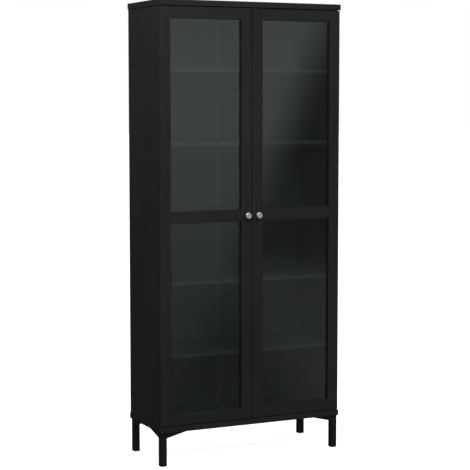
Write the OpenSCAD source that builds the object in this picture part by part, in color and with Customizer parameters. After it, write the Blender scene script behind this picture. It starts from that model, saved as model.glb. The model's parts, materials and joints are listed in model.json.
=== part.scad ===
// Tall display cabinet on four steel legs, with two framed glass doors.
// Millimetres. X runs to the right, Y to the back and Z up; the doors face -Y.
// The origin is on the floor, at the middle of the cabinet's width and overall depth.

/* [Cabinet] */
// Height from the floor to the top face
cabinet_h = 2000; // [1800:10:2200]
// Width over the outer faces of the side panels
cabinet_w = 870; // [700:10:1000]
// Depth from the doors' front faces to the back
cabinet_d = 355; // [320:5:450]
// Clear height under the base board
leg_h = 148; // [120:1:200]
// Thickness of the top and base boards
board_t = 25; // [22:1:30]
// How far the top and base boards stand out past the sides and the doors
overhang = 3; // [2:0.5:6]
// Thickness of the side panels and shelves
panel_t = 16; // [16:1:18]

/* [Doors] */
// Thickness of the door frames
door_t = 16; // [16:1:18]
// Gap between the doors' backs and the side panels
door_gap = 2; // [2:0.5:3]
// Reveal round the doors, above, below and between them
reveal = 3; // [2:0.5:4]
// Width of the stiles and of the top and bottom rails
stile_w = 50; // [48:1:60]
// Height of the middle rail
mid_rail_h = 52; // [48:1:70]
// Height of the middle rail's centre above the floor
mid_rail_z = 1075; // [1000:5:1150]
// Depth of the glass behind the door's front face
glass_set = 12; // [11:0.5:12]
// Thickness of the glass
glass_t = 3; // [3:0.5:3.5]
// Width of the rebate that holds the glass
rebate_w = 8; // [6:1:9]

/* [Shelves] */
// Heights of the undersides of the four loose shelves
shelf_zs = [464, 779, 1380, 1697]; // [300:1:1900]
// Height of the underside of the fixed middle shelf
fixed_shelf_z = 1078; // [1040:1:1100]
// Distance from the doors' front faces to the shelves' front edges
shelf_set = 28; // [26:1:40]
// Spacing of the shelf pin holes, one above and one below each shelf's own
pin_pitch = 32; // [25:1:40]

/* [Legs] */
// Width of the square leg tube
leg_w = 28; // [25:1:35]
// Wall of the leg tube
leg_wall = 1.5; // [1.2:0.1:2]
// How far the legs stand in from the side panels' outer faces
leg_in_x = 1.5; // [0:0.5:10]
// How far the front legs stand behind the doors' front faces
leg_in_front = 5.5; // [0:0.5:15]
// How far the back legs stand in from the back
leg_in_back = 10; // [0:1:20]
// Length of each gusset beyond the tube
gusset_l = 88; // [60:1:120]
// Drop of each gusset at the tube
gusset_h = 25; // [15:1:40]

/* [Knobs] */
// Diameter of the round knobs
knob_d = 28; // [24:1:32]
// How far the knobs stand out from the doors
knob_out = 25; // [22:1:30]

/* [Hinges] */
// Distance from a door's end to its outermost hinges
hinge_end = 110; // [90:5:140]
// Distance from a door's end to its inner hinges
hinge_inner = 484; // [440:1:520]
// Distance from the side panel's outer face to the centre of the hinge cup
cup_u = 23; // [22.5:0.5:23.5]

/* [Hidden] */
$fn = 48;
eps = 0.01;

foil = [0.09, 0.09, 0.09];
steel_black = [0.11, 0.11, 0.11];
nickel = [0.72, 0.71, 0.69];
black_nickel = [0.3, 0.29, 0.28];
satin = [0.82, 0.81, 0.79];
glass_tint = [0.75, 0.85, 0.82, 0.35];
raw_wood = [0.76, 0.63, 0.44];
black_plastic = [0.06, 0.06, 0.06];

// Main planes
half_w = cabinet_w / 2;
front_y = -(cabinet_d - knob_out) / 2;
back_y = front_y + cabinet_d;
side_front_y = front_y + door_t + door_gap;
base_z = leg_h;
floor_z = base_z + board_t;
ceiling_z = cabinet_h - board_t;
side_h = ceiling_z - floor_z;
inner_w = cabinet_w - 2 * panel_t;

// Back panel: let into a rebate round the back of the carcass
back_t = 3;
back_rebate = 8;
back_slack = 0.5;
strip_flange = 20;
strip_t = 1.5;
strip_web = 2;
back_front_y = back_y - back_t;

// Shelves
shelf_y = front_y + shelf_set;
shelf_back_slack = 1.5;
shelf_side_slack = 1;
shelf_back_y = back_front_y - strip_t - shelf_back_slack;
pin_r = 2.5;
pin_in = 9;
pin_out = 8;
pin_end = 45;
pin_ys = [shelf_y + pin_end, shelf_back_y - pin_end];
pin_flange = [1.5, 8, 7];

// Doors
door_side_in = 0.5;
door_w = half_w - door_side_in - reveal / 2;
door_z = floor_z + reveal;
door_h = ceiling_z - reveal - door_z;
door_x = -half_w + door_side_in;
pane_w = door_w - 2 * stile_w;
pane_x = door_x + stile_w;
low_pane_z = door_z + stile_w;
low_pane_h = mid_rail_z - mid_rail_h / 2 - low_pane_z;
up_pane_z = mid_rail_z + mid_rail_h / 2;
up_pane_h = door_z + door_h - stile_w - up_pane_z;
tenon_l = 10;
tenon_t = 5;
tenon_set = 4;
tenon_in = 6;
glass_slack = 1;
bead_t = 2;
knob_x = -reveal / 2 - stile_w / 2;

// Knob and its screw
knob_neck_r = 6.5;
knob_head_t = 13;
knob_edge_r = 3.5;
screw_r = 2;
knob_thread = 9;
knob_screw_head_h = 2.2;

// Concealed hinges, in the left door's own directions: u inwards from the side panel's
// outer face and v backwards from the doors' front faces
hinge_zs = [door_z + hinge_end, door_z + hinge_inner,
            door_z + door_h - hinge_inner, door_z + door_h - hinge_end];
pivot = [12, 12];
neck = [[12, 12], [19, 14.5], [22, 19], [22, 55]];
link_t = 2.5;
link_h = 12;
knuckle_r = 2.3;
pivot_pin_r = 1.25;
pivot_pin_l = 19;
cup_r = 17.4;
cup_depth = 10.4;
cup_wall = 0.8;
flange_l = 52;
flange_w = 16;
cup_screw_z = 21.5;
cup_screw_l = 11;
cup_screw_r = 1.75;
ear_t = 1.4;
ear_in = 6.4;
arm_u = [18.5, 25.5];
arm_v = [19.5, 62];
arm_h = 18;
slot_t = 3;
slot_h = 12.6;
plate_v = [30, 72];
wing_v = [47, 63];
wing_h = 50;
plate_screw_v = 55;
plate_screw_z = 16;
plate_screw_r = 2.4;
plate_screw_l = 11;
plate_screw_head = [4.2, 1.8];

// Fittings: cam bolts and dowels at each corner and at the fixed shelf
cam_ys = [side_front_y + 45, back_front_y - 50];
dowel_ys = [side_front_y + 80, back_front_y - 85];
cam_r = 7.5;
cam_t = 12.5;
cam_reach = 34;
bolt_r = 3;
bolt_thread_r = 2.5;
bolt_thread_l = 11;
dowel_r = 4;
dowel_l = 30;
dowel_in_board = 12;
ease = 0.1;

// Legs
plate_t = 3;
cap_t = 4;
cap_step = 1;
plug_h = 14;
leg_screw_l = 20;
leg_screw_out = 14;
leg_screw_side = leg_w / 2 + plate_t;
leg_screw_corner = leg_w + 9;
leg_x = -half_w + leg_in_x;
leg_ys = [front_y + leg_in_front, back_y - leg_in_back - leg_w];
plate_l = leg_w + gusset_l + 2;

// Wall brackets and door catch
bracket_x = 300;
bracket_w = 30;
bracket_l = 27;
bracket_t = 2;
wall_hole_r = 2.75;
wall_hole_z = ceiling_z - 18;
bracket_screw_y = back_front_y - 15;
catch_size = [64, 16, 14];
strike_size = [24, 1, 13.5];
strike_drop = 15;

wood_screw_head_h = 2;
bracket_screw_l = 16;
catch_screw_l = 12;
catch_screw_r = 1.5;
catch_screw_in = 6;
catch_slack = 0.2;
catch_y = front_y + door_t + strike_size[1] + catch_slack;

nail_r = 0.8;
nail_head_r = 2;
nail_head_t = 0.7;
nail_l = 20;
nail_end = 60;
nail_gaps = 11;
nail_step = 150;
nail_zs = [for (i = [0 : nail_gaps]) floor_z + nail_end + i * (side_h - 2 * nail_end) / nail_gaps];
nail_xs = [for (i = [0 : 2]) -i * nail_step - nail_end];

// ---------- shared shapes ----------

// A box from its two opposite corners
module span(low, high) translate(low) cube(high - low);

// A round bar that starts at p and runs a length along +X, +Y or +Z
module bar_x(p, r, l) translate(p) rotate([0, 90, 0]) cylinder(r = r, h = l);
module bar_y(p, r, l) translate(p) rotate([-90, 0, 0]) cylinder(r = r, h = l);
module bar_z(p, r, l) translate(p) cylinder(r = r, h = l);

module right_of() mirror([1, 0, 0]) children();
module both_sides() {
    children();
    right_of() children();
}

// Where the left hinges are: children are drawn with the side panel's outer front corner at 0,0
module at_left_hinges() for (z = hinge_zs) translate([-half_w, front_y, z]) children();

// ---------- fittings ----------

// Cam bolts and dowels of the left side panel's two ends
module corner_bolts(grow) for (y = cam_ys) {
    x = -half_w + panel_t / 2;
    bar_z([x, y, floor_z - bolt_thread_l - grow], bolt_thread_r + grow, bolt_thread_l + 2 * grow);
    bar_z([x, y, floor_z], bolt_r + grow, cam_reach);
    bar_z([x, y, ceiling_z - grow], bolt_thread_r + grow, bolt_thread_l + 2 * grow);
    bar_z([x, y, ceiling_z - cam_reach], bolt_r + grow, cam_reach);
}
module corner_dowels(grow) for (y = dowel_ys) {
    x = -half_w + panel_t / 2;
    bar_z([x, y, floor_z - dowel_in_board - grow], dowel_r + grow, dowel_l + 2 * grow);
    bar_z([x, y, ceiling_z + dowel_in_board - dowel_l - grow], dowel_r + grow, dowel_l + 2 * grow);
}
module corner_cams(grow) for (y = cam_ys, z = [floor_z + cam_reach, ceiling_z - cam_reach])
    bar_x([-half_w + panel_t - cam_t - grow, y, z], cam_r + grow, cam_t + grow);

// The same fittings at the left end of the fixed shelf
module shelf_bolts(grow) for (y = cam_ys) {
    x = -half_w + panel_t;
    z = fixed_shelf_z + panel_t / 2;
    bar_x([x - bolt_thread_l - grow, y, z], bolt_thread_r + grow, bolt_thread_l + 2 * grow);
    bar_x([x, y, z], bolt_r + grow, cam_reach);
}
module shelf_dowels(grow) for (y = dowel_ys)
    bar_x([-half_w + panel_t - dowel_in_board - grow, y, fixed_shelf_z + panel_t / 2],
          dowel_r + grow, dowel_l + 2 * grow);
module shelf_cams(grow) for (y = cam_ys)
    bar_z([-half_w + panel_t + cam_reach, y, fixed_shelf_z], cam_r + grow, cam_t + grow);

module wood_dowels() color(raw_wood) both_sides() {
    corner_dowels(0);
    shelf_dowels(0);
}
module cam_bolts() color(nickel) both_sides() {
    corner_bolts(0);
    shelf_bolts(0);
}
module cam_discs() color(nickel) both_sides() difference() {
    union() {
        corner_cams(0);
        shelf_cams(0);
    }
    corner_bolts(ease);
    shelf_bolts(ease);
}

// ---------- back panel ----------

module left_back_nails(grow) {
    for (z = nail_zs) nail([-half_w + panel_t - back_rebate / 2, z], grow);
    for (x = nail_xs, z = [floor_z - back_rebate / 2, ceiling_z + back_rebate / 2]) nail([x, z], grow);
}
module nail(place, grow) {
    bar_y([place[0], back_y - nail_l - grow, place[1]], nail_r + grow, nail_l + grow + eps);
    bar_y([place[0], back_y - nail_head_t - grow, place[1]], nail_head_r + grow, nail_head_t + grow);
}
module back_panel_nails() color(nickel) both_sides() intersection() {
    left_back_nails(0);
    span([-half_w, back_y - 2 * nail_l, 0], [0, back_y, cabinet_h]);
}
module back_rebate_cut()
    span([-inner_w / 2 - back_rebate, back_front_y, floor_z - back_rebate],
         [inner_w / 2 + back_rebate, back_y + 1, ceiling_z + back_rebate]);

module left_back_panel() color(foil) difference() {
    span([-inner_w / 2 - back_rebate + back_slack, back_front_y, floor_z - back_rebate + back_slack],
         [-strip_web / 2 - 0.2, back_y, ceiling_z + back_rebate - back_slack]);
    left_back_nails(ease);
    wall_holes();
}
module right_back_panel() right_of() left_back_panel();

// T-shaped strip that covers the joint between the two halves of the back
module back_joining_strip() color(black_plastic) {
    span([-strip_flange / 2, back_front_y - strip_t, floor_z + 0.5],
         [strip_flange / 2, back_front_y, ceiling_z - 0.5]);
    span([-strip_web / 2, back_front_y - eps, floor_z + 0.5],
         [strip_web / 2, back_y, ceiling_z - 0.5]);
}

// ---------- boards and panels ----------

module plain_board(z) span([-half_w - overhang, front_y - overhang, z],
                           [half_w + overhang, back_y, z + board_t]);
module board_cuts() {
    back_rebate_cut();
    both_sides() {
        corner_bolts(ease);
        corner_dowels(ease);
        left_back_nails(ease);
    }
}
module top_board() color(foil) difference() {
    plain_board(ceiling_z);
    board_cuts();
    both_sides() {
        bar_z([-bracket_x, bracket_screw_y, ceiling_z - 1], screw_r, bracket_screw_l);
        catch_screws(ceiling_z - 1, catch_screw_l + 1);
    }
}
module base_board() color(foil) difference() {
    plain_board(base_z);
    board_cuts();
    all_leg_screws() bar_z([0, 0, base_z - 1], screw_r, leg_screw_l);
}

// Holes for the shelf pins: each loose shelf's own height, one step up and one step down
module pin_holes() for (z = shelf_zs, step = [-1 : 1], y = pin_ys)
    bar_x([-half_w + panel_t - pin_in - 0.5, y, z - pin_r + step * pin_pitch], pin_r + 0.05, pin_in + 1);
module left_side_panel() color(foil) difference() {
    span([-half_w, side_front_y, floor_z], [-half_w + panel_t, back_y, ceiling_z]);
    back_rebate_cut();
    corner_bolts(ease);
    corner_dowels(ease);
    corner_cams(ease);
    shelf_bolts(ease);
    shelf_dowels(ease);
    pin_holes();
    at_left_hinges() plate_screw_shanks(0.05);
    left_back_nails(ease);
}
module right_side_panel() right_of() left_side_panel();

module middle_shelf() color(foil) difference() {
    span([-inner_w / 2, shelf_y, fixed_shelf_z], [inner_w / 2, shelf_back_y, fixed_shelf_z + panel_t]);
    both_sides() {
        shelf_bolts(ease);
        shelf_dowels(ease);
        translate([0, 0, -ease]) shelf_cams(ease);
    }
}
module loose_shelf(z) color(foil)
    span([-inner_w / 2 + shelf_side_slack, shelf_y, z],
         [inner_w / 2 - shelf_side_slack, shelf_back_y, z + panel_t]);
module bottom_shelf() loose_shelf(shelf_zs[0]);
module lower_shelf() loose_shelf(shelf_zs[1]);
module upper_shelf() loose_shelf(shelf_zs[2]);
module top_shelf() loose_shelf(shelf_zs[3]);

// Pins with a small flange that stands against the panel, under the shelf
module shelf_pins() color(black_nickel) both_sides() for (z = shelf_zs, y = pin_ys) {
    bar_x([-inner_w / 2 - pin_in, y, z - pin_r], pin_r, pin_in + pin_out);
    span([-inner_w / 2, y - pin_flange[1] / 2, z - pin_flange[2]],
         [-inner_w / 2 + pin_flange[0], y + pin_flange[1] / 2, z]);
}

// ---------- wall brackets and catch ----------

module wall_holes() both_sides()
    bar_y([-bracket_x, back_front_y - bracket_t - 1, wall_hole_z], wall_hole_r, back_t + bracket_t + 2);
module wall_brackets() color(black_nickel) difference() {
    both_sides() {
        span([-bracket_x - bracket_w / 2, back_front_y - bracket_l, ceiling_z - bracket_t],
             [-bracket_x + bracket_w / 2, back_front_y, ceiling_z]);
        span([-bracket_x - bracket_w / 2, back_front_y - bracket_t, ceiling_z - bracket_w],
             [-bracket_x + bracket_w / 2, back_front_y, ceiling_z]);
    }
    wall_holes();
    both_sides() bar_z([-bracket_x, bracket_screw_y, ceiling_z - bracket_t - 1], screw_r + 0.25, 4);
}
module wall_bracket_screws() color(nickel) both_sides() {
    bar_z([-bracket_x, bracket_screw_y, ceiling_z - bracket_t], screw_r - 0.05, bracket_screw_l);
    bar_z([-bracket_x, bracket_screw_y, ceiling_z - bracket_t - wood_screw_head_h],
          2 * screw_r, wood_screw_head_h);
}

// Twin magnetic catch under the top board, behind the meeting stiles
module catch_screws(z, l)
    bar_z([-catch_size[0] / 2 + catch_screw_in, catch_y + catch_size[1] / 2, z], catch_screw_r, l);
module door_catch() color(black_plastic) difference() {
    translate([-catch_size[0] / 2, catch_y, ceiling_z - catch_size[2]])
        cube(catch_size);
    both_sides() catch_screws(ceiling_z - catch_size[2] - 1, catch_size[2] + 2);
}

// ---------- legs ----------

// Welded steel leg: square tube, screw plate and two gussets, with its outer corner at 0,0
module plain_leg() difference() {
    union() {
        span([0, 0, cap_t], [leg_w, leg_w, leg_h - plate_t]);
        translate([0, 0, leg_h - plate_t]) linear_extrude(plate_t)
            polygon([[0, 0], [plate_l, 0], [plate_l, leg_w / 3], [leg_w * 1.9, leg_w],
                     [leg_w, leg_w * 1.9], [leg_w / 3, plate_l], [0, plate_l]]);
        translate([leg_w, plate_t, leg_h - plate_t]) rotate([90, 0, 0]) gusset();
        translate([0, leg_w, leg_h - plate_t]) rotate([90, 0, 90]) gusset();
    }
    span([leg_wall, leg_wall, 0], [leg_w - leg_wall, leg_w - leg_wall, leg_h - plate_t]);
    leg_screw_places() bar_z([0, 0, leg_h - plate_t - 1], screw_r + 0.25, plate_t + 2);
}
module gusset() {
    weld = leg_wall / 2;
    linear_extrude(plate_t) polygon([[-weld, weld], [gusset_l, weld], [gusset_l, 0],
                                     [0, plate_t - gusset_h], [-weld, plate_t - gusset_h]]);
}
module leg_screw_places() {
    translate([leg_w + leg_screw_out, leg_screw_side, 0]) children();
    translate([leg_screw_side, leg_w + leg_screw_out, 0]) children();
    translate([leg_screw_corner, leg_screw_corner, 0]) children();
}

// Turns a front left leg's shape to each of the four corners
module to_corner(right, back) translate([0, back ? leg_ys[1] + leg_w : leg_ys[0], 0])
    mirror([right ? 1 : 0, 0, 0]) mirror([0, back ? 1 : 0, 0]) translate([leg_x, 0, 0]) children();
module all_corners() for (right = [false, true], back = [false, true]) to_corner(right, back) children();
module all_leg_screws() all_corners() leg_screw_places() children();

module front_left_leg() color(steel_black) to_corner(false, false) plain_leg();
module front_right_leg() color(steel_black) to_corner(true, false) plain_leg();
module back_left_leg() color(steel_black) to_corner(false, true) plain_leg();
module back_right_leg() color(steel_black) to_corner(true, true) plain_leg();
module foot_caps() color(black_plastic) all_corners() {
    span([cap_step, cap_step, 0], [leg_w - cap_step, leg_w - cap_step, cap_step]);
    span([0, 0, cap_step - eps], [leg_w, leg_w, cap_t]);
    span([leg_wall + ease, leg_wall + ease, cap_t - eps],
         [leg_w - leg_wall - ease, leg_w - leg_wall - ease, plug_h]);
}
module leg_screws() color(nickel) all_leg_screws() {
    bar_z([0, 0, leg_h - plate_t], screw_r - 0.05, leg_screw_l - 2);
    bar_z([0, 0, leg_h - plate_t - wood_screw_head_h], 2 * screw_r, wood_screw_head_h);
}

// ---------- door frames ----------

// The two rebates for the glass, seen from the back of the left door
module glass_rebates() {
    for (pane = [[low_pane_z, low_pane_h], [up_pane_z, up_pane_h]])
        span([pane_x - rebate_w, front_y + glass_set, pane[0] - rebate_w],
             [pane_x + pane_w + rebate_w, front_y + door_t + 1, pane[0] + pane[1] + rebate_w]);
}
module rail(z, h) span([pane_x, front_y, z], [pane_x + pane_w, front_y + door_t, z + h]);
// Stub tenons at both ends of a rail; grow opens them into mortises
module tenons(z, h, grow) for (x = [pane_x - tenon_l - grow, pane_x + pane_w - eps])
    span([x, front_y + tenon_set - grow, z + tenon_in - grow],
         [x + tenon_l + grow + eps, front_y + tenon_set + tenon_t + grow, z + h - tenon_in + grow]);
module all_tenons(grow) {
    tenons(door_z, stile_w, grow);
    tenons(mid_rail_z - mid_rail_h / 2, mid_rail_h, grow);
    tenons(door_z + door_h - stile_w, stile_w, grow);
}
module door_rail(z, h) color(foil) difference() {
    union() {
        rail(z, h);
        tenons(z, h, 0);
    }
    glass_rebates();
}
module stile(x) span([x, front_y, door_z], [x + stile_w, front_y + door_t, door_z + door_h]);

module left_door_hinge_stile() color(foil) difference() {
    stile(door_x);
    glass_rebates();
    all_tenons(ease);
    at_left_hinges() {
        bar_y([cup_u, door_t - cup_depth - ease, 0], cup_r + ease, cup_depth + 1);
        cup_screw_shanks(0.05);
    }
}
module left_door_knob_stile() color(foil) difference() {
    stile(-reveal / 2 - stile_w);
    glass_rebates();
    all_tenons(ease);
    bar_y([knob_x, front_y - 1, mid_rail_z], screw_r + 0.25, door_t + 2);
}
module left_door_top_rail() door_rail(door_z + door_h - stile_w, stile_w);
module left_door_middle_rail() door_rail(mid_rail_z - mid_rail_h / 2, mid_rail_h);
module left_door_bottom_rail() door_rail(door_z, stile_w);

module pane(z, h) {
    edge = rebate_w - glass_slack;
    color(glass_tint) span([pane_x - edge, front_y + glass_set, z - edge],
                           [pane_x + pane_w + edge, front_y + glass_set + glass_t, z + h + edge]);
}
module left_upper_glass() pane(up_pane_z, up_pane_h);
module left_lower_glass() pane(low_pane_z, low_pane_h);

// Four flat beads behind each pane, butted at the corners
module bead_frame(z, h) {
    y = [front_y + glass_set + glass_t, front_y + glass_set + glass_t + bead_t];
    edge = rebate_w - glass_slack;
    for (x = [pane_x - edge, pane_x + pane_w])
        span([x, y[0], z - edge], [x + edge, y[1], z + h + edge]);
    for (bz = [z - edge, z + h])
        span([pane_x + 0.2, y[0], bz], [pane_x + pane_w - 0.2, y[1], bz + edge]);
}
module left_glazing_beads() color(black_plastic) {
    bead_frame(low_pane_z, low_pane_h);
    bead_frame(up_pane_z, up_pane_h);
}

// Round knob: a waisted neck under a flat head with rounded edges
module left_knob() {
    r = knob_d / 2;
    e = knob_edge_r;
    neck_l = knob_out - knob_head_t;
    color(satin) translate([knob_x, front_y, mid_rail_z]) rotate([90, 0, 0]) difference() {
        rotate_extrude($fn = 72) polygon(concat(
            [[0, 0], [knob_neck_r + 1.5, 0], [knob_neck_r + 1.5, 1.5], [knob_neck_r, 2.5],
             [knob_neck_r, neck_l - 2]],
            [for (a = [-90 : 15 : 0]) [r - e + e * cos(a), neck_l + e + e * sin(a)]],
            [for (a = [0 : 15 : 90]) [r - e + e * cos(a), knob_out - e + e * sin(a)]],
            [[0, knob_out]]));
        translate([0, 0, -1]) cylinder(r = screw_r + 0.05, h = neck_l);
    }
}
module left_knob_screw() color(nickel) {
    bar_y([knob_x, front_y - knob_thread, mid_rail_z], screw_r, door_t + knob_thread);
    bar_y([knob_x, front_y + door_t, mid_rail_z], 2 * screw_r, knob_screw_head_h);
}
module left_strike_plate() color(nickel)
    translate([knob_x - strike_size[0] / 2, front_y + door_t, ceiling_z - strike_drop]) cube(strike_size);

// ---------- concealed hinges ----------

module left_hinge_cups() color(black_nickel) at_left_hinges() hinge_cup();
module hinge_cup() {
    floor_v = door_t - cup_depth;
    difference() {
        union() {
            bar_y([cup_u, floor_v, 0], cup_r, cup_depth + cup_wall);
            span([cup_u - flange_w / 2, door_t, -flange_l / 2],
                 [cup_u + flange_w / 2, door_t + cup_wall, flange_l / 2]);
        }
        bar_y([cup_u, floor_v + cup_wall, 0], cup_r - cup_wall, cup_depth + 1);
        for (z = [-cup_screw_z, cup_screw_z]) bar_y([cup_u, door_t - 1, z], cup_screw_r + 0.25, 3);
    }
    // Ears that carry the pivot pin
    difference() {
        for (z = [ear_in, -ear_in - ear_t])
            span([pivot[0] - 3, floor_v + cup_wall / 2, z], [pivot[0] + 3, pivot[1] + 2.6, z + ear_t]);
        bar_z([pivot[0], pivot[1], -pivot_pin_l / 2], pivot_pin_r + 0.05, pivot_pin_l);
    }
}
module cup_screw_shanks(grow) for (z = [-cup_screw_z, cup_screw_z])
    bar_y([cup_u, door_t + cup_wall - cup_screw_l, z], cup_screw_r + grow, cup_screw_l);
module left_cup_screws() color(nickel) at_left_hinges() {
    cup_screw_shanks(0);
    for (z = [-cup_screw_z, cup_screw_z]) bar_y([cup_u, door_t + cup_wall, z], 2 * cup_screw_r, 1);
}

// The moving link: a knuckle on the pivot pin, a cranked neck and a flat tongue
module flat_bar(p, q, w) translate(p) rotate(atan2(q[1] - p[1], q[0] - p[0]))
    translate([0, -w / 2]) square([norm(q - p), w]);
module left_hinge_links() color(black_nickel) at_left_hinges() {
    translate([0, 0, -link_h / 2]) linear_extrude(link_h) {
        for (i = [0 : len(neck) - 2]) flat_bar(neck[i], neck[i + 1], link_t);
        for (i = [1 : len(neck) - 2]) translate(neck[i]) circle(r = link_t / 2);
        translate(pivot) circle(r = knuckle_r);
    }
    bar_z([pivot[0], pivot[1], -ear_in - ear_t], pivot_pin_r, 2 * (ear_in + ear_t));
}

// The fixed arm that the tongue slides in, on a winged plate screwed to the side panel
module left_hinge_arms() color(black_nickel) at_left_hinges() difference() {
    span([arm_u[0], arm_v[0], -arm_h / 2], [arm_u[1], arm_v[1], arm_h / 2]);
    span([neck[3][0] - slot_t / 2, arm_v[0] - 1, -slot_h / 2],
         [neck[3][0] + slot_t / 2, arm_v[1] - 3, slot_h / 2]);
}
module left_hinge_plates() color(black_nickel) at_left_hinges() difference() {
    union() {
        span([panel_t, plate_v[0], -arm_h / 2], [arm_u[0], plate_v[1], arm_h / 2]);
        span([panel_t, wing_v[0], -wing_h / 2], [arm_u[0], wing_v[1], wing_h / 2]);
    }
    for (z = [-plate_screw_z, plate_screw_z])
        bar_x([panel_t - 1, plate_screw_v, z], plate_screw_r + 0.2, arm_u[0] - panel_t + 2);
}
module plate_screw_shanks(grow) for (z = [-plate_screw_z, plate_screw_z])
    bar_x([panel_t - plate_screw_l, plate_screw_v, z], plate_screw_r + grow,
          plate_screw_l + arm_u[0] - panel_t);
module hinge_plate_screws() color(nickel) both_sides() at_left_hinges() {
    plate_screw_shanks(0);
    for (z = [-plate_screw_z, plate_screw_z])
        bar_x([arm_u[0], plate_screw_v, z], plate_screw_head[0], plate_screw_head[1]);
}

// ---------- the right door mirrors the left ----------

module right_door_hinge_stile() right_of() left_door_hinge_stile();
module right_door_knob_stile() right_of() left_door_knob_stile();
module right_door_top_rail() right_of() left_door_top_rail();
module right_door_middle_rail() right_of() left_door_middle_rail();
module right_door_bottom_rail() right_of() left_door_bottom_rail();
module right_upper_glass() right_of() left_upper_glass();
module right_lower_glass() right_of() left_lower_glass();
module right_glazing_beads() right_of() left_glazing_beads();
module right_hinge_cups() right_of() left_hinge_cups();
module right_cup_screws() right_of() left_cup_screws();
module right_knob() right_of() left_knob();
module right_knob_screw() right_of() left_knob_screw();
module right_strike_plate() right_of() left_strike_plate();
module right_hinge_plates() right_of() left_hinge_plates();
module right_hinge_arms() right_of() left_hinge_arms();
module right_hinge_links() right_of() left_hinge_links();
top_board();
base_board();
left_side_panel();
right_side_panel();
middle_shelf();
bottom_shelf();
lower_shelf();
upper_shelf();
top_shelf();
shelf_pins();
left_back_panel();
right_back_panel();
back_joining_strip();
back_panel_nails();
wood_dowels();
cam_bolts();
cam_discs();
wall_brackets();
wall_bracket_screws();
door_catch();
front_left_leg();
front_right_leg();
back_left_leg();
back_right_leg();
foot_caps();
leg_screws();
left_hinge_plates();
right_hinge_plates();
left_hinge_arms();
right_hinge_arms();
hinge_plate_screws();
left_hinge_links();
right_hinge_links();
left_door_hinge_stile();
left_door_knob_stile();
left_door_top_rail();
left_door_middle_rail();
left_door_bottom_rail();
left_upper_glass();
left_lower_glass();
left_glazing_beads();
left_hinge_cups();
left_cup_screws();
left_knob();
left_knob_screw();
left_strike_plate();
right_door_hinge_stile();
right_door_knob_stile();
right_door_top_rail();
right_door_middle_rail();
right_door_bottom_rail();
right_upper_glass();
right_lower_glass();
right_glazing_beads();
right_hinge_cups();
right_cup_screws();
right_knob();
right_knob_screw();
right_strike_plate();
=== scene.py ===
# %% [markdown]
# # A tall display cabinet
# The cabinet stands on four steel legs. Its doors are frames of black foiled board round glass, and each
# hangs on four concealed hinges. The frame of the cabinet comes from CAD with every joint and bore in
# place. This lesson gives its parts the edges, fittings and finishes that a maker would give them.
# First the frame is loaded.

# %% Load the frame
import bpy
import bmesh
import json
import math
from mathutils import Matrix, Vector


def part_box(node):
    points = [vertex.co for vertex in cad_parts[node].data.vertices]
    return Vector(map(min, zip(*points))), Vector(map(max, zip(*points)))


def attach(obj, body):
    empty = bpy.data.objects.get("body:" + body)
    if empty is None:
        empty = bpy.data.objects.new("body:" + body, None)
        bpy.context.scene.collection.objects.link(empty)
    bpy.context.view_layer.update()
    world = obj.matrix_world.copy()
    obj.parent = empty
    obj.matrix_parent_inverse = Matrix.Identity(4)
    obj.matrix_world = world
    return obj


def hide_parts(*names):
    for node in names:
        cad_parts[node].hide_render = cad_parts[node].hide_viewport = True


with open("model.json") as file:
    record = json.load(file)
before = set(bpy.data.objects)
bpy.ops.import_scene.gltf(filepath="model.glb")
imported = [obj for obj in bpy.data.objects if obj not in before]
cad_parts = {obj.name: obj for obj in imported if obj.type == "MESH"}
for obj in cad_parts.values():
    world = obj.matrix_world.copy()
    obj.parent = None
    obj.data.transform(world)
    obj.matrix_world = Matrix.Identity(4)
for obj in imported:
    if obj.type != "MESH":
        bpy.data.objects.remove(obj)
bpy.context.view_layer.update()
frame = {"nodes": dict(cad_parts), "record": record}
MM = 0.001
SAME_POINT = 1e-6

# %% [markdown]
# The camera stands a little to the left of the cabinet and far away, with a long lens, so the cabinet's
# uprights stay nearly upright. A small shift keeps the feet in the picture. Its place is given in metres
# from the cabinet's origin, which is on the floor at the middle of the cabinet.

# %% Camera
CAMERA_PLACE = Vector((-2.8278, -5.8728, 1.5718))
CAMERA_YAW = math.radians(25.685)
CAMERA_TILT = math.radians(4.865)
SENSOR_W = 36.0
lens = bpy.data.cameras.new("camera")
lens.sensor_width = SENSOR_W
lens.lens = 111.93
lens.shift_y = -0.02
lens.clip_end = 200
camera = bpy.data.objects.new("camera", lens)
camera.location = CAMERA_PLACE
camera.rotation_euler = (math.pi / 2 - CAMERA_TILT, 0, -CAMERA_YAW)
bpy.context.scene.collection.objects.link(camera)
bpy.context.scene.camera = camera
bpy.context.scene.view_settings.view_transform = "Standard"

# %% [markdown]
# Shader maths reads best as ordinary sums. A wire wraps one output of a node, and adding or multiplying
# wires adds the Math node that does it. A finish is a material being built: it holds the tree, hands out
# Object coordinates, and makes any other node from its type, its settings and its sockets.

# %% Wires and finishes
class Wire:
    """One output socket, with the sums that the finishes below use."""

    def __init__(self, socket):
        self.socket = socket

    def sum(self, operation, *terms):
        tree = self.socket.id_data
        node = tree.nodes.new("ShaderNodeMath")
        node.operation = operation
        for socket, term in zip(node.inputs, terms):
            plug(tree, socket, term)
        return Wire(node.outputs[0])

    def __add__(self, other):
        return self.sum("ADD", self, other)

    def __sub__(self, other):
        return self.sum("SUBTRACT", self, other)

    def __rsub__(self, other):
        return self.sum("SUBTRACT", other, self)

    def __mul__(self, other):
        return self.sum("MULTIPLY", self, other)

    def __gt__(self, other):
        return self.sum("GREATER_THAN", self, other)

    __radd__ = __add__
    __rmul__ = __mul__


def plug(tree, socket, value):
    """Links a wire to a socket, or sets the socket to a plain value."""
    if isinstance(value, Wire):
        tree.links.new(value.socket, socket)
    else:
        socket.default_value = value


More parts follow.
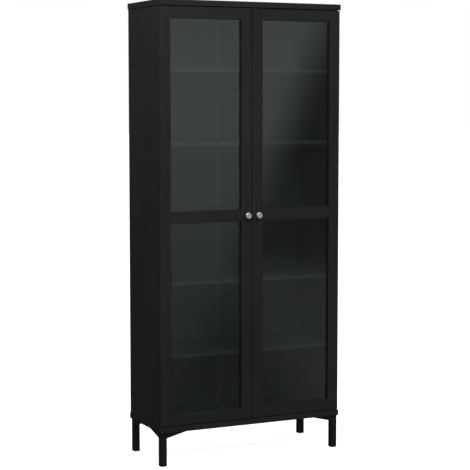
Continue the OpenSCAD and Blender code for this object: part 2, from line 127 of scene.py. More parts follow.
class Finish:
    """A material under construction, with its fixed values set on the shader's own sockets."""

    def __init__(self, name, **fixed):
        self.material = bpy.data.materials.new(name)
        self.material.use_nodes = True
        self.tree = self.material.node_tree
        self.shader = self.tree.nodes["Principled BSDF"]
        for socket, value in fixed.items():
            self.shader.inputs[socket.replace("_", " ")].default_value = value
        self.place = self.node("ShaderNodeTexCoord", out="Object")

    def node(self, kind, settings=None, sockets=None, out=0):
        node = self.tree.nodes.new(kind)
        for name, value in (settings or {}).items():
            setattr(node, name, value)
        for name, value in (sockets or {}).items():
            plug(self.tree, node.inputs[name], value)
        return Wire(node.outputs[out])

    def noise(self, scale, detail=3.0, roughness=0.5, stretch=(1, 1, 1), centre=(0, 0, 0)):
        """Soft noise, with as many spots to a metre along each axis as scale times stretch says."""
        place = self.node("ShaderNodeMapping", {"vector_type": "TEXTURE"}, {
            "Vector": self.place, "Location": centre, "Scale": [1 / s for s in stretch]})
        return self.node("ShaderNodeTexNoise", sockets={
            "Vector": place, "Scale": scale, "Detail": detail, "Roughness": roughness})

    def step(self, value, low, high):
        """0 below low and 1 above high, with a soft step between."""
        return self.node("ShaderNodeMapRange", {"interpolation_type": "SMOOTHSTEP"}, {
            "Value": value, "From Min": low, "From Max": high})

    def blend(self, factor, first, second):
        return self.node("ShaderNodeMix", {"data_type": "RGBA"}, {
            "Factor": factor, 6: first, 7: second}, out=2)

    def feed(self, socket, value):
        plug(self.tree, self.shader.inputs[socket], value)

    def bump(self, height, depth, strength=1.0):
        self.feed("Normal", self.node("ShaderNodeBump", sockets={
            "Height": height, "Distance": depth, "Strength": strength}))


def grey(level, warmth=0.0):
    return (level * (1 + warmth), level, level * (1 - warmth), 1)


# %% [markdown]
# The boards are wrapped in a matt black foil that is printed and pressed with a faint open grain. The
# grain runs along each piece, so there are three foils, one for each direction of the grain. Noise that
# is stretched a hundredfold along the grain gives the streaks, finer noise gives the pores, and a broad
# cloudiness keeps a large side from looking flat.

# %% Black foil
def foil(name, along, seed=0.0):
    finish = Finish(name, Specular_IOR_Level=0.28)
    stretch = [1.0, 1.0, 1.0]
    stretch[along] = 0.035
    centre = (seed, seed, seed)
    streaks = finish.noise(130, 4.0, 0.6, stretch, centre)
    pores = finish.step(finish.noise(620, 2.0, 0.5, stretch, centre), 0.56, 0.68)
    clouds = finish.noise(2.6, 2.0, 0.5, (1, 1, 1), centre)
    tone = streaks * 0.6 + clouds * 0.4
    finish.feed("Base Color", finish.blend(finish.step(tone, 0.3, 0.7), grey(0.0095), grey(0.0165)))
    finish.feed("Roughness", 0.56 + streaks * 0.14 + pores * 0.1)
    finish.bump(streaks * 0.5 - pores * 0.5, 0.00012, 0.5)
    return finish.material


FOIL_X = foil("black_foil_grain_across", 0)
FOIL_Y = foil("black_foil_grain_deep", 1, 3.7)
FOIL_Z = foil("black_foil_grain_upright", 2, 8.1)
print("foils", FOIL_X.name, FOIL_Y.name, FOIL_Z.name)

# %% [markdown]
# The back is thin hardboard. Its inner face carries the same black foil, and its outer face shows the
# pressed fibres and the print of the wire screen it was made on. One material does both: a step on the
# depth tells the faces apart.

# %% Hardboard
back_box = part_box("left_back_panel")
FACE_STEP = back_box[0][1] + 0.3 * MM


def hardboard():
    finish = Finish("hardboard", Specular_IOR_Level=0.25)
    depth = finish.node("ShaderNodeSeparateXYZ", sockets={"Vector": finish.place}, out="Y")
    outside = depth > FACE_STEP
    fibres = finish.noise(900, 5.0, 0.7, (1, 1, 0.25))
    blotches = finish.noise(9, 3.0)
    screen_x = finish.node("ShaderNodeTexWave", {"bands_direction": "X"}, {
        "Vector": finish.place, "Scale": 180.0, "Distortion": 0.6})
    screen_z = finish.node("ShaderNodeTexWave", {"bands_direction": "Z"}, {
        "Vector": finish.place, "Scale": 180.0, "Distortion": 0.6})
    raw = finish.blend(fibres * 0.7 + blotches * 0.3, (0.075, 0.042, 0.022, 1), (0.19, 0.115, 0.06, 1))
    streaks = finish.noise(130, 4.0, 0.6, (1, 1, 0.035))
    foiled = finish.blend(streaks, grey(0.010), grey(0.017))
    finish.feed("Base Color", finish.blend(outside, foiled, raw))
    finish.feed("Roughness", 0.58 + outside * 0.2 + fibres * 0.1)
    finish.bump(outside * (screen_x * screen_z + fibres * 0.6), 0.0002, 0.7)
    return finish.material


HARDBOARD = hardboard()

# %% [markdown]
# The legs are welded steel under a matt black powder coat. Powder melts into a fine orange peel, and
# where feet and vacuum cleaners knock it, near the floor, it is rubbed a little smoother and greyer.

# %% Powder-coated steel
def powder_coat():
    finish = Finish("black_powder_coat", Specular_IOR_Level=0.2)
    peel = finish.noise(1500, 2.0, 0.5)
    clouds = finish.noise(25, 3.0)
    height = finish.node("ShaderNodeSeparateXYZ", sockets={"Vector": finish.place}, out="Z")
    low = 1 - finish.step(height, 0.0, 0.05)
    scuffs = finish.step(finish.noise(160, 4.0, 0.6, (1, 1, 0.15)), 0.52, 0.7) * low
    base = finish.blend(clouds, grey(0.006), grey(0.010))
    finish.feed("Base Color", finish.blend(scuffs * 0.5, base, grey(0.04)))
    finish.feed("Roughness", 0.52 + clouds * 0.12 - scuffs * 0.15)
    finish.bump(peel, 0.00008, 0.6)
    return finish.material


POWDER = powder_coat()

# %% [markdown]
# Small metal parts come in three finishes. The knobs are turned and brushed, which leaves rings round
# their own axis. The screws and nails are nickel plated, and the hinges and shelf pins have a darker
# black nickel. All three carry fine scratches that change the gloss more than the colour.

# %% Metals
def metal(name, colour, dark, rough, scratch_scale):
    finish = Finish(name, Metallic=1.0)
    scratches = finish.noise(scratch_scale, 4.0, 0.65, (1, 1, 0.12))
    clouds = finish.noise(60, 2.0)
    finish.feed("Base Color", finish.blend(clouds, colour, dark))
    finish.feed("Roughness", rough + scratches * 0.16 + clouds * 0.06)
    finish.bump(scratches, 0.00003, 0.4)
    return finish.material


NICKEL = metal("nickel_plate", (0.66, 0.65, 0.62, 1), (0.52, 0.51, 0.49, 1), 0.2, 900)
BLACK_NICKEL = metal("black_nickel", (0.09, 0.088, 0.086, 1), (0.055, 0.054, 0.053, 1), 0.24, 900)


def turned_metal(name, centre):
    """Satin metal whose brushing runs in rings round a line along Y through the centre."""
    finish = Finish(name, Metallic=1.0)
    place = finish.node("ShaderNodeMapping", {"vector_type": "TEXTURE"}, {
        "Vector": finish.place, "Location": centre, "Scale": (1, 1e3, 1)})
    radius = finish.node("ShaderNodeVectorMath", {"operation": "LENGTH"}, {0: place}, out="Value")
    rings = finish.node("ShaderNodeTexNoise", {"noise_dimensions": "1D"}, {
        "W": radius, "Scale": 3200.0, "Detail": 3.0})
    smudges = finish.noise(90, 2.0)
    finish.feed("Base Color", finish.blend(smudges, (0.93, 0.92, 0.9, 1), (0.84, 0.83, 0.81, 1)))
    finish.feed("Roughness", 0.22 + rings * 0.1 + smudges * 0.08)
    finish.bump(rings, 0.00004, 0.5)
    return finish.material


# %% [markdown]
# Black moulded plastic has a fine spark-eroded grain. Beech dowels are end-grained rods with short dark
# flecks. Float glass is clear with a faint green body. What it doesn't mirror passes straight through
# it, lamplight too, because a pane that stopped the light would leave the shelves in the dark.

# %% Plastic, beech and glass
def black_plastic():
    finish = Finish("black_plastic", Specular_IOR_Level=0.4)
    grain = finish.noise(2600, 2.0, 0.6)
    clouds = finish.noise(40, 2.0)
    finish.feed("Base Color", finish.blend(clouds, grey(0.011), grey(0.018)))
    finish.feed("Roughness", 0.45 + grain * 0.15)
    finish.bump(grain, 0.00005, 0.6)
    return finish.material


def beech():
    finish = Finish("beech")
    grain = finish.noise(420, 4.0, 0.6, (1, 1, 0.06))
    flecks = finish.step(finish.noise(1500, 2.0, 0.5, (1, 1, 0.2)), 0.6, 0.7)
    wood = finish.blend(grain, (0.52, 0.33, 0.18, 1), (0.7, 0.5, 0.31, 1))
    finish.feed("Base Color", finish.blend(flecks * 0.6, wood, (0.3, 0.17, 0.08, 1)))
    finish.feed("Roughness", 0.55 + grain * 0.15)
    finish.bump(grain - flecks, 0.0001, 0.6)
    return finish.material


def float_glass():
    """A clear pane: the share that Fresnel gives is mirrored, and the rest goes straight through.

    Only a face that is met from outside mirrors, with the share of both faces together."""
    finish = Finish("float_glass", Metallic=1.0, Base_Color=(0.92, 0.985, 1.0, 1))
    smears = finish.step(finish.noise(5, 4.0, 0.6, (1, 1, 0.5)), 0.5, 0.8)
    finish.feed("Roughness", smears * 0.04)
    inside = finish.node("ShaderNodeNewGeometry", out="Backfacing")
    mirrored = finish.node("ShaderNodeFresnel", sockets={"IOR": 1.8}) * (1 - inside)
    clear = finish.node("ShaderNodeBsdfTransparent", sockets={"Color": (0.895, 0.955, 0.955, 1)})
    both = finish.node("ShaderNodeMixShader", sockets={
        0: mirrored, 1: clear, 2: Wire(finish.shader.outputs[0])})
    finish.tree.links.new(both.socket, finish.tree.nodes["Material Output"].inputs["Surface"])
    return finish.material


PLASTIC = black_plastic()
BEECH = beech()
GLASS = float_glass()

# %% [markdown]
# Two small helpers are used all through. The first makes one object the only selected and active one,
# because an operator acts on all that is selected. The second gives a finished piece its material and even
# shading, hangs it on the body that its CAD node rides on, and hides that CAD node when it stands for it.

# %% Selecting and handing over
BODY_OF = {node: body for body, nodes in frame["record"]["behaviour"]["bodies"].items() for node in nodes}
SMOOTH = math.radians(35)


def only(piece):
    bpy.ops.object.select_all(action="DESELECT")
    piece.select_set(True)
    bpy.context.view_layer.objects.active = piece


def hand_over(piece, material, node, stands_for=True):
    """Gives the piece its material and the body that the node rides on, and hides the node if it stands for
    it.
    """
    piece.data.materials.clear()
    piece.data.materials.append(material)
    only(piece)
    bpy.ops.object.shade_smooth_by_angle(angle=SMOOTH)
    even = piece.modifiers.new("even_shading", "WEIGHTED_NORMAL")
    even.keep_sharp = True
    bpy.ops.object.modifier_apply(modifier=even.name)
    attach(piece, BODY_OF[node])
    if stands_for:
        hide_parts(node)
    return piece


bpy.ops.object.select_all(action="DESELECT")

# %% [markdown]
# Sawn boards never have knife edges: the foil is rolled over a small radius, and sheet steel is
# deburred. A CAD board has its true joints and bores but perfectly sharp edges. So a copy of it is
# merged, its flat faces are joined, and only its long outer edges are bevelled, which leaves every
# drilled hole alone.

# %% Eased edges
def eased(node, width, material, shortest=12 * MM, segments=2):
    source = frame["nodes"][node]
    piece = bpy.data.objects.new("eased_" + node, source.data.copy())
    bpy.context.scene.collection.objects.link(piece)
    only(piece)
    bpy.ops.object.mode_set(mode="EDIT")
    bpy.ops.mesh.select_mode(type="EDGE")
    bpy.ops.mesh.select_all(action="SELECT")
    bpy.ops.mesh.remove_doubles(threshold=SAME_POINT)
    bpy.ops.mesh.dissolve_limited(angle_limit=math.radians(0.5))
    bpy.ops.mesh.select_all(action="DESELECT")
    shape = bmesh.from_edit_mesh(piece.data)
    for edge in shape.edges:
        sharp = edge.is_manifold and edge.is_convex and edge.calc_face_angle(0) > math.radians(40)
        edge.select_set(sharp and edge.calc_length() > shortest)
    bmesh.update_edit_mesh(piece.data)
    bpy.ops.mesh.bevel(offset=width, segments=segments, profile=0.5, affect="EDGES")
    bpy.ops.object.mode_set(mode="OBJECT")
    return hand_over(piece, material, node)


BOARD_EDGE = 0.8 * MM
LONG_EDGE = 25 * MM
for node in ("top_board", "base_board", "middle_shelf", "bottom_shelf", "lower_shelf", "upper_shelf",
             "top_shelf"):
    eased(node, BOARD_EDGE, FOIL_X)
for node in ("left_side_panel", "right_side_panel"):
    eased(node, BOARD_EDGE, FOIL_Z, shortest=LONG_EDGE)
for side in ("left", "right"):
    for part in ("hinge_stile", "knob_stile"):
        eased(side + "_door_" + part, BOARD_EDGE, FOIL_Z, shortest=LONG_EDGE)
    for part in ("top_rail", "middle_rail", "bottom_rail"):
        eased(side + "_door_" + part, BOARD_EDGE, FOIL_X, shortest=LONG_EDGE)
    eased(side + "_back_panel", 0.3 * MM, HARDBOARD, shortest=LONG_EDGE)
for node in ("front_left_leg", "front_right_leg", "back_left_leg", "back_right_leg"):
    eased(node, 1.2 * MM, POWDER, shortest=LONG_EDGE, segments=3)
print("boards, doors and legs eased")

# %% [markdown]
# Each pane is a plain rectangle of float glass whose edges have been rubbed with a stone, which leaves a
# narrow flat all round. The black beads that hold it are moulded, with softly rounded corners.

# %% Panes and beads
def pane(node):
    low, high = [Vector(corner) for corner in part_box(node)]
    bpy.ops.mesh.primitive_cube_add(size=1, location=(low + high) / 2)
    piece = bpy.context.object
    piece.name = "stoned_" + node
    piece.scale = high - low
    bpy.ops.object.transform_apply(location=True, rotation=True, scale=True)
    bpy.ops.object.mode_set(mode="EDIT")
    bpy.ops.mesh.select_all(action="SELECT")
    bpy.ops.mesh.bevel(offset=0.5 * MM, segments=1, affect="EDGES")
    bpy.ops.object.mode_set(mode="OBJECT")
    return hand_over(piece, GLASS, node)


for side in ("left", "right"):
    for part in ("upper_glass", "lower_glass"):
        pane(side + "_" + part)
    eased(side + "_glazing_beads", 0.6 * MM, PLASTIC, shortest=3 * MM)

# %% [markdown]
# A CAD node may hold several separate solids, such as twelve screws. Their places are read from the
# node itself: its mesh is merged, walked from point to point into islands, and each island's box is
# kept.

# %% Where the small parts are
def solids(node):
    """The lowest and highest corner of each separate solid of a node."""
    mesh = bmesh.new()
    mesh.from_mesh(frame["nodes"][node].data)
    bmesh.ops.remove_doubles(mesh, verts=mesh.verts, dist=SAME_POINT)
    left = set(mesh.verts)
    boxes = []
    while left:
        island = {left.pop()}
        edge_of_island = list(island)
        while edge_of_island:
            vert = edge_of_island.pop()
            for edge in vert.link_edges:
                other = edge.other_vert(vert)
                if other not in island:
                    island.add(other)
                    edge_of_island.append(other)
        left -= island
        places = [v.co for v in island]
        boxes.append((Vector([min(p[i] for p in places) for i in range(3)]),
                      Vector([max(p[i] for p in places) for i in range(3)])))
    mesh.free()
    return sorted(boxes, key=lambda b: tuple(round(c, 5) for c in b[0]))


# %% [markdown]
# What repeats is made once, at the origin. A copy with a mesh of its own goes to each place, and the
# copies are joined into one piece, as a bag of screws is one line on a parts list.

# %% Copies in their places
def joined(pieces, name):
    """Joins separate objects into one piece at the origin."""
    bpy.ops.object.select_all(action="DESELECT")
    for piece in pieces:
        piece.select_set(True)
    bpy.context.view_layer.objects.active = pieces[0]
    if len(pieces) > 1:
        bpy.ops.object.join()
    whole = bpy.context.view_layer.objects.active
    only(whole)
    bpy.ops.object.transform_apply(location=True, rotation=True, scale=True)
    whole.name = name
    return whole


def set_out(model, places, name):
    """Copies the model to each place and joins the copies; the model itself is removed."""
    copies = []
    for place in places:
        copy = model.copy()
        copy.data = model.data.copy()
        bpy.context.scene.collection.objects.link(copy)
        copy.location = place
        copies.append(copy)
    bpy.data.objects.remove(model)
    return joined(copies, name)


# %% [markdown]
# Turned pieces are made as on a lathe, from a short round blank. Its end face is drawn out again and
# again, each time to the next station's distance and radius, and the last face closes the piece. The
# knobs, the screws and the covers all come from this.

# %% A lathe
def turn(name, centre, direction, stations, sides=48):
    """A round piece along a direction; stations are (distance along it, radius) from the centre."""
    direction = Vector(direction)
    (start, radius), (first, first_radius) = stations[0], stations[1]
    turned = direction.to_track_quat("Z", "Y")
    bpy.ops.object.select_all(action="DESELECT")
    bpy.ops.mesh.primitive_cylinder_add(
        vertices=sides, radius=radius, depth=first - start, end_fill_type="NGON",
        location=Vector(centre) + direction * (start + first) / 2, rotation=turned.to_euler())
    piece = bpy.context.object
    piece.name = name
    bpy.ops.object.transform_apply(location=True, rotation=True, scale=True)
    bpy.ops.object.mode_set(mode="EDIT")
    bpy.ops.mesh.select_mode(type="FACE")
    bpy.ops.mesh.select_all(action="DESELECT")
    shape = bmesh.from_edit_mesh(piece.data)
    end = max(shape.faces, key=lambda face: face.calc_center_median().dot(direction))
    end.select_set(True)
    bmesh.update_edit_mesh(piece.data)
    across = [1 - abs(c) for c in direction]

    def widen(ratio, at):
        bpy.ops.transform.resize(
            value=[1 + (ratio - 1) * c for c in across],
            center_override=Vector(centre) + direction * at)

    widen(first_radius / radius, first)
    here, radius = first, first_radius
    for distance, wider in stations[2:]:
        bpy.ops.mesh.extrude_region_move(
            TRANSFORM_OT_translate={"value": direction * (distance - here)})
        widen(wider / radius, distance)
        here, radius = distance, wider
    bpy.ops.object.mode_set(mode="OBJECT")
    return piece


# %% [markdown]
# The knob is a waisted neck under a flat, soft-edged head. The stations go along the neck and then
# round the head's edge as two quarter circles.

# %% Knobs
KNOB_EDGE = 3.5 * MM
KNOB_NECK = 6.5 * MM
KNOB_HEAD = 13 * MM


def quarter(middle, reach, start, steps=6):
    """Stations round a quarter circle about a ring at (distance, radius), from an angle onwards."""
    angles = [math.radians(start + 90 * i / steps) for i in range(steps + 1)]
    return [(middle[0] + reach * math.sin(a), middle[1] + reach * math.cos(a)) for a in angles]


for side in ("left", "right"):
    low, high = [Vector(corner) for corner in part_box(side + "_knob")]
    centre = Vector(((low.x + high.x) / 2, high.y, (low.z + high.z) / 2))
    knob_r, out = (high.x - low.x) / 2, high.y - low.y
    neck_l = out - KNOB_HEAD
    ring = knob_r - KNOB_EDGE
    stations = [(0, KNOB_NECK + 1.5 * MM), (1.2 * MM, KNOB_NECK + 1.5 * MM),
                (1.8 * MM, KNOB_NECK + 1.2 * MM), (2.6 * MM, KNOB_NECK), (neck_l - 2 * MM, KNOB_NECK),
                (neck_l - 0.6 * MM, KNOB_NECK + 1 * MM), (neck_l, KNOB_NECK + 2.2 * MM)]
    stations += quarter((neck_l + KNOB_EDGE, ring), KNOB_EDGE, -90)
    stations += quarter((out - KNOB_EDGE, ring), KNOB_EDGE, 0)
    stations += [(out, ring - 1.2 * MM), (out - 0.25 * MM, ring - 1.6 * MM), (out - 0.25 * MM, ring - 5 * MM)]
    knob = turn("turned_" + side + "_knob", centre, (0, -1, 0), stations, sides=72)
    hand_over(knob, turned_metal("satin_metal_" + side, centre), side + "_knob")

# %% [markdown]
# Screws have a domed head with a cross recess. The head and its shank are turned in one, and a cross of
# two tapered bars is taken out of the head with a boolean. One screw is made for each size, and then
# copied to each place that the CAD node gives.

# %% Screws
def tapered_bar(name, centre, direction, length, width, depth):
    """One bar of the cross: a block whose far end is drawn in."""
    bpy.ops.object.select_all(action="DESELECT")
    bpy.ops.mesh.primitive_cube_add(size=1, location=(0, 0, 0))
    bar = bpy.context.object
    bar.name = name
    bar.scale = (length, width, depth * 2)
    bpy.ops.object.transform_apply(location=False, rotation=False, scale=True)
    bpy.ops.object.mode_set(mode="EDIT")
    bpy.ops.mesh.select_mode(type="FACE")
    bpy.ops.mesh.select_all(action="DESELECT")
    shape = bmesh.from_edit_mesh(bar.data)
    for face in shape.faces:
        face.select_set(face.normal.z < -0.9)
    bmesh.update_edit_mesh(bar.data)
    bpy.ops.transform.resize(value=(0.45, 0.7, 1))
    bpy.ops.object.mode_set(mode="OBJECT")
    bar.rotation_euler = Vector(direction).to_track_quat("Z", "Y").to_euler()
    bar.location = centre
    only(bar)
    bpy.ops.object.transform_apply(location=True, rotation=True, scale=True)
    return bar


def screw(name, direction, shank_r, length, head_r, head_h):
    """A screw at the origin: the head's flat underside is there, and the shank points away."""
    out = Vector(direction)
    tip = min(2.5 * shank_r, length / 2)
    stations = [(-length, shank_r * 0.3), (-length + tip, shank_r), (0, shank_r), (0.0, head_r * 0.98),
                (head_h * 0.35, head_r), (head_h * 0.7, head_r * 0.9), (head_h * 0.93, head_r * 0.66),
                (head_h, head_r * 0.35)]
    piece = turn(name, (0, 0, 0), direction, stations, sides=24)
    for index in range(2):
        bar = tapered_bar(f"{name}_bar_{index}", out * head_h, direction,
                          head_r * 1.15, head_r * 0.26, head_h * 0.75)
        bar.data.transform(Matrix.Rotation(index * math.pi / 2, 4, out))
        cut = piece.modifiers.new("cross", "BOOLEAN")
        cut.object = bar
        cut.operation = "DIFFERENCE"
        cut.solver = "EXACT"
        only(piece)
        bpy.ops.object.modifier_apply(modifier=cut.name)
        bpy.data.objects.remove(bar)
    return piece


def screws(node, direction, shank_r, head_h, label=None):
    """Copies of one screw at each solid of a node; direction is the way its heads face."""
    axis = max(range(3), key=lambda i: abs(direction[i]))
    places = solids(node)
    if label:
        places = [box for box in places if (box[0].x < 0) == (label == "left")]
    low, high = places[0]
    head_r = max(high[i] - low[i] for i in range(3) if i != axis) / 2
    length = high[axis] - low[axis] - head_h
    seats = []
    for low, high in places:
        seat = (low + high) / 2
        seat[axis] = high[axis] - head_h if direction[axis] > 0 else low[axis] + head_h
        seats.append(seat)
    model = screw("screw", direction, shank_r, length, head_r, head_h)
    return set_out(model, seats, "cross_" + (label + "_" if label else "") + node)


SCREW_R = 1.95 * MM
SCREW_HEAD = 2 * MM
for node in ("leg_screws", "wall_bracket_screws"):
    hand_over(screws(node, (0, 0, -1), SCREW_R, SCREW_HEAD), NICKEL, node)
for side in ("left", "right"):
    for node, shank_r, head_h in ((side + "_cup_screws", 1.75 * MM, 1 * MM),
                                  (side + "_knob_screw", 2 * MM, 2.2 * MM)):
        hand_over(screws(node, (0, 1, 0), shank_r, head_h), NICKEL, node)
PLATE_SCREW_R = 2.4 * MM
PLATE_SCREW_HEAD = 1.8 * MM
plate_screws = [screws("hinge_plate_screws", (facing, 0, 0), PLATE_SCREW_R, PLATE_SCREW_HEAD, label)
                for facing, label in ((1, "left"), (-1, "right"))]
for piece in plate_screws:
    hand_over(piece, NICKEL, "hinge_plate_screws")
print("screws made")

# %% [markdown]
# The hinges are pressed and folded steel. Their CAD parts have the true shapes, so they are only eased,
# with a finer edge than the boards. Each arm also gets the two adjusting screws that set the door.

# %% Hinges and other fittings
ADJUSTERS = ((0.3, 3.1 * MM), (0.78, 3.9 * MM))


def adjusters(side, inward):
    """The two screws on each arm: where they are along it and how wide their heads are."""
    heads = []
    for along, head_r in ADJUSTERS:
        places = []
        for low, high in solids(side + "_hinge_arms"):
            face = high.x if inward > 0 else low.x
            places.append((face, low.y + (high.y - low.y) * along, (low.z + high.z) / 2))
        model = screw("adjuster", (inward, 0, 0), head_r * 0.6, 1.5 * MM, head_r, 0.9 * MM)
        heads.append(set_out(model, places, "row_of_screws"))
    return joined(heads, side + "_hinge_adjusting_screws")


for side in ("left", "right"):
    for part in ("hinge_cups", "hinge_links", "hinge_arms", "hinge_plates"):
        eased(side + "_" + part, 0.35 * MM, BLACK_NICKEL, shortest=1.5 * MM)
eased("shelf_pins", 0.25 * MM, BLACK_NICKEL, shortest=1.2 * MM)
eased("wall_brackets", 0.4 * MM, BLACK_NICKEL, shortest=1.5 * MM)
eased("door_catch", 0.8 * MM, PLASTIC, shortest=3 * MM)
eased("foot_caps", 0.7 * MM, PLASTIC, shortest=5 * MM)
for side, inward in (("left", 1), ("right", -1)):
    eased(side + "_strike_plate", 0.2 * MM, NICKEL, shortest=0.8 * MM)
    hand_over(adjusters(side, inward), NICKEL, "hinge_plate_screws", stands_for=False)

# %% [markdown]
# The discs that draw the boards together would shine through the glass, so each is hidden by a thin
# plastic cap with a raised rim. A disc lies in the board's face, and its thinnest direction tells which
# face that is.

# %% Caps over the discs
CAP_R = 8.6 * MM
CAP_STATIONS = [(0, CAP_R), (0.45 * MM, CAP_R), (0.8 * MM, CAP_R - 0.4 * MM), (0.9 * MM, CAP_R - 1.2 * MM),
                (0.65 * MM, CAP_R - 1.9 * MM), (0.65 * MM, 2 * MM)]
cap_places = {"left": [], "right": [], "shelf": []}
for low, high in solids("cam_discs"):
    middle = (low + high) / 2
    if high.z - low.z < high.x - low.x:
        cap_places["shelf"].append((middle.x, middle.y, low.z))
    elif middle.x < 0:
        cap_places["left"].append((high.x, middle.y, middle.z))
    else:
        cap_places["right"].append((low.x, middle.y, middle.z))
for label, facing in (("left", (1, 0, 0)), ("right", (-1, 0, 0)), ("shelf", (0, 0, -1))):
    cap = turn("cap", (0, 0, 0), facing, CAP_STATIONS, sides=32)
    caps = set_out(cap, cap_places[label], label + "_disc_caps")
    hand_over(caps, PLASTIC, "door_catch", stands_for=False)
print("caps", {label: len(places) for label, places in cap_places.items()})

# %% [markdown]
# The gussets are welded to the leg tube and to its top plate from inside. A weld bead is a string of
# small overlapping puddles, so it is turned with a radius that swells and shrinks, and powder coat
# covers it all.

# %% Weld beads
LEG_W = 28 * MM
LEG_PLATE = 3 * MM
GUSSET_DROP = 24 * MM
STITCH_L = 30 * MM
BEAD_R = 2.2 * MM
PUDDLE = 1.7 * MM


def bead(start, direction, length):
    count = round(length / PUDDLE)
    stations = [(0, BEAD_R * 0.5)]
    for i in range(count):
        stations += [((i + 0.5) * PUDDLE, BEAD_R), ((i + 1) * PUDDLE, BEAD_R * 0.86)]
    stations[-1] = (count * PUDDLE, BEAD_R * 0.5)
    return turn("bead", start, direction, stations, sides=12)


for node in ("front_left_leg", "front_right_leg", "back_left_leg", "back_right_leg"):
    low, high = [Vector(corner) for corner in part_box(node)]
    right, back = low.x > 0, low.y > 0
    corner = Vector((high.x if right else low.x, high.y if back else low.y, high.z - LEG_PLATE))
    inward = Vector((-1 if right else 1, -1 if back else 1, 0))
    beads = []
    for along, across in ((0, 1), (1, 0)):
        foot = corner.copy()
        foot[along] += inward[along] * LEG_W
        foot[across] += inward[across] * LEG_PLATE
        beads.append(bead(foot - Vector((0, 0, GUSSET_DROP)), (0, 0, 1), GUSSET_DROP - BEAD_R))
        way = Vector((0, 0, 0))
        way[along] = inward[along]
        beads.append(bead(foot + way * LEG_W / 2, way, STITCH_L))
    hand_over(joined(beads, node + "_welds"), POWDER, node, stands_for=False)
print("legs welded")

# %% [markdown]
# What is left of the frame is hidden in the boards or seen only from behind: the joining strip, the
# dowels, the cam fittings and the nails. These keep their CAD shapes and take a finish.

# %% Finishes for the parts that keep their CAD shapes
KEPT = {"back_joining_strip": PLASTIC, "back_panel_nails": NICKEL, "wood_dowels": BEECH,
        "cam_bolts": NICKEL, "cam_discs": NICKEL}
for node, material in KEPT.items():
    part = frame["nodes"][node]
    for place in part.material_slots:
        place.material = material

# %% [markdown]
# The floor is plain and pale, and glows a little, so that its far edge melts into the white behind it.
# It isn't mirrored in the glass and throws no light back up, so the cabinet stays as dark at its foot as
# in a deep studio. A soft sun lights floor and cabinet alike. A softbox at the front left is near enough
# to fade from the cabinet's top to its feet, and so high that the doors' glass doesn't mirror it when
# they are met square on. A smaller one lights the left side in the same way.

# %% Floor and lamps
bpy.ops.object.select_all(action="DESELECT")
bpy.ops.mesh.primitive_plane_add(size=120, location=(0, 0, 0))
floor = bpy.context.object
floor.name = "floor"
floor_finish = Finish("pale_floor", Specular_IOR_Level=0.0, Roughness=1.0, Emission_Strength=0.9)
floor_finish.feed("Base Color", floor_finish.blend(floor_finish.noise(0.8), grey(0.84), grey(0.88)))
floor_finish.shader.inputs["Emission Color"].default_value = (1, 1, 1, 1)
floor.data.materials.append(floor_finish.material)
floor.visible_glossy = False
floor.visible_diffuse = False


def lamp(name, kind, place, target, power, **settings):
    light = bpy.data.lights.new(name, kind)
    light.energy = power
    for setting, value in settings.items():
        setattr(light, setting, value)
    holder = bpy.data.objects.new(name, light)
    holder.location = place
    holder.rotation_euler = (Vector(target) - Vector(place)).to_track_quat("-Z", "Y").to_euler()
    bpy.context.scene.collection.objects.link(holder)


lamp("soft_sun", "SUN", (-1.0, -2.0, 6), (0, 0, 0), 0.35, angle=math.radians(50))
lamp("softbox", "AREA", (-0.9, -3.1, 3.05), (0, 0, 1.7), 46, shape="SQUARE", size=1.4)
lamp("side_softbox", "AREA", (-2.2, 0.0, 2.9), (-0.4, 0, 1.9), 20, shape="SQUARE", size=1.0)

# %% [markdown]
# The sky is what the glass mirrors, so it is shaped like a studio: a bright screen that ends on both
# sides in soft edges, the right one slanting, a faint glow low down at the right, a dim room that gets
# lighter upwards behind the cabinet, and a brighter ceiling. What the camera sees directly is plain
# white.

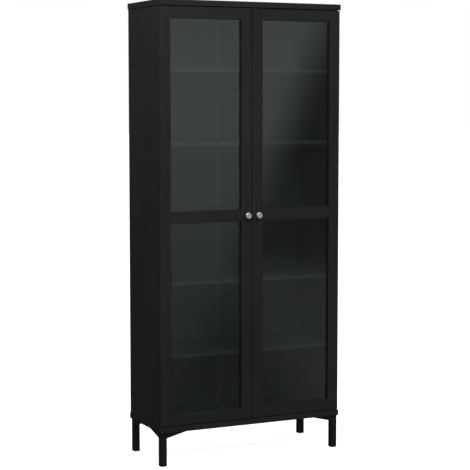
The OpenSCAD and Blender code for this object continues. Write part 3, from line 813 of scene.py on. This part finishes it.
# %% Sky
SCREEN_EDGE = math.radians(28.05)
SCREEN_SLANT = 0.4
SCREEN_END = math.radians(35.0)
LOW_EDGE = math.radians(21.4)
LOW_SLANT = 0.616
SCREEN_GLOW = 0.52
LOW_GLOW = 0.13
CEILING_GLOW = 0.3
FRONT_ROOM = 0.12
BACK_ROOM = 0.03
BACK_WALL = 0.16
world = bpy.data.worlds.new("studio")
bpy.context.scene.world = world
world.use_nodes = True
tree = world.node_tree
tree.nodes.clear()


def sky_node(kind, sockets=None, out=0):
    node = tree.nodes.new(kind)
    for name, value in (sockets or {}).items():
        plug(tree, node.inputs[name], value)
    return Wire(node.outputs[out])


def soft_step(value, low, high):
    wire = sky_node("ShaderNodeMapRange", {"Value": value, "From Min": low, "From Max": high})
    wire.socket.node.interpolation_type = "SMOOTHSTEP"
    return wire


toward = sky_node("ShaderNodeTexCoord", out="Generated")
x, y, z = [sky_node("ShaderNodeSeparateXYZ", {"Vector": toward}, out=axis) for axis in "XYZ"]
rightward = x * math.cos(SCREEN_EDGE) + y * math.sin(SCREEN_EDGE) - z * SCREEN_SLANT
leftward = y * math.sin(SCREEN_END) - x * math.cos(SCREEN_END)
screen = (1 - soft_step(rightward, -0.02, 0.02)) * soft_step(z, -0.24, 0.06)
screen = screen * (1 - soft_step(leftward, -0.1, 0.1))
low_right = soft_step(x * math.cos(LOW_EDGE) + y * math.sin(LOW_EDGE) + z * LOW_SLANT, -0.035, 0.02)
low = low_right * (1 - soft_step(z, -0.125, -0.1))
behind = soft_step(y, -0.1, 0.3)
room = FRONT_ROOM * (1 - behind) + behind * (BACK_ROOM + soft_step(z, -0.35, 0.35) * BACK_WALL)
glow = room + screen * SCREEN_GLOW + low * LOW_GLOW + soft_step(z, 0.3, 1.0) * CEILING_GLOW
sky = sky_node("ShaderNodeBackground", {"Color": (0.97, 1.0, 1.0, 1), "Strength": glow})
white = sky_node("ShaderNodeBackground", {"Color": (1, 1, 1, 1)})
direct = sky_node("ShaderNodeLightPath", out="Is Camera Ray")
seen = sky_node("ShaderNodeMixShader", {0: direct, 1: sky, 2: white})
tree.links.new(seen.socket, tree.nodes.new("ShaderNodeOutputWorld").inputs["Surface"])
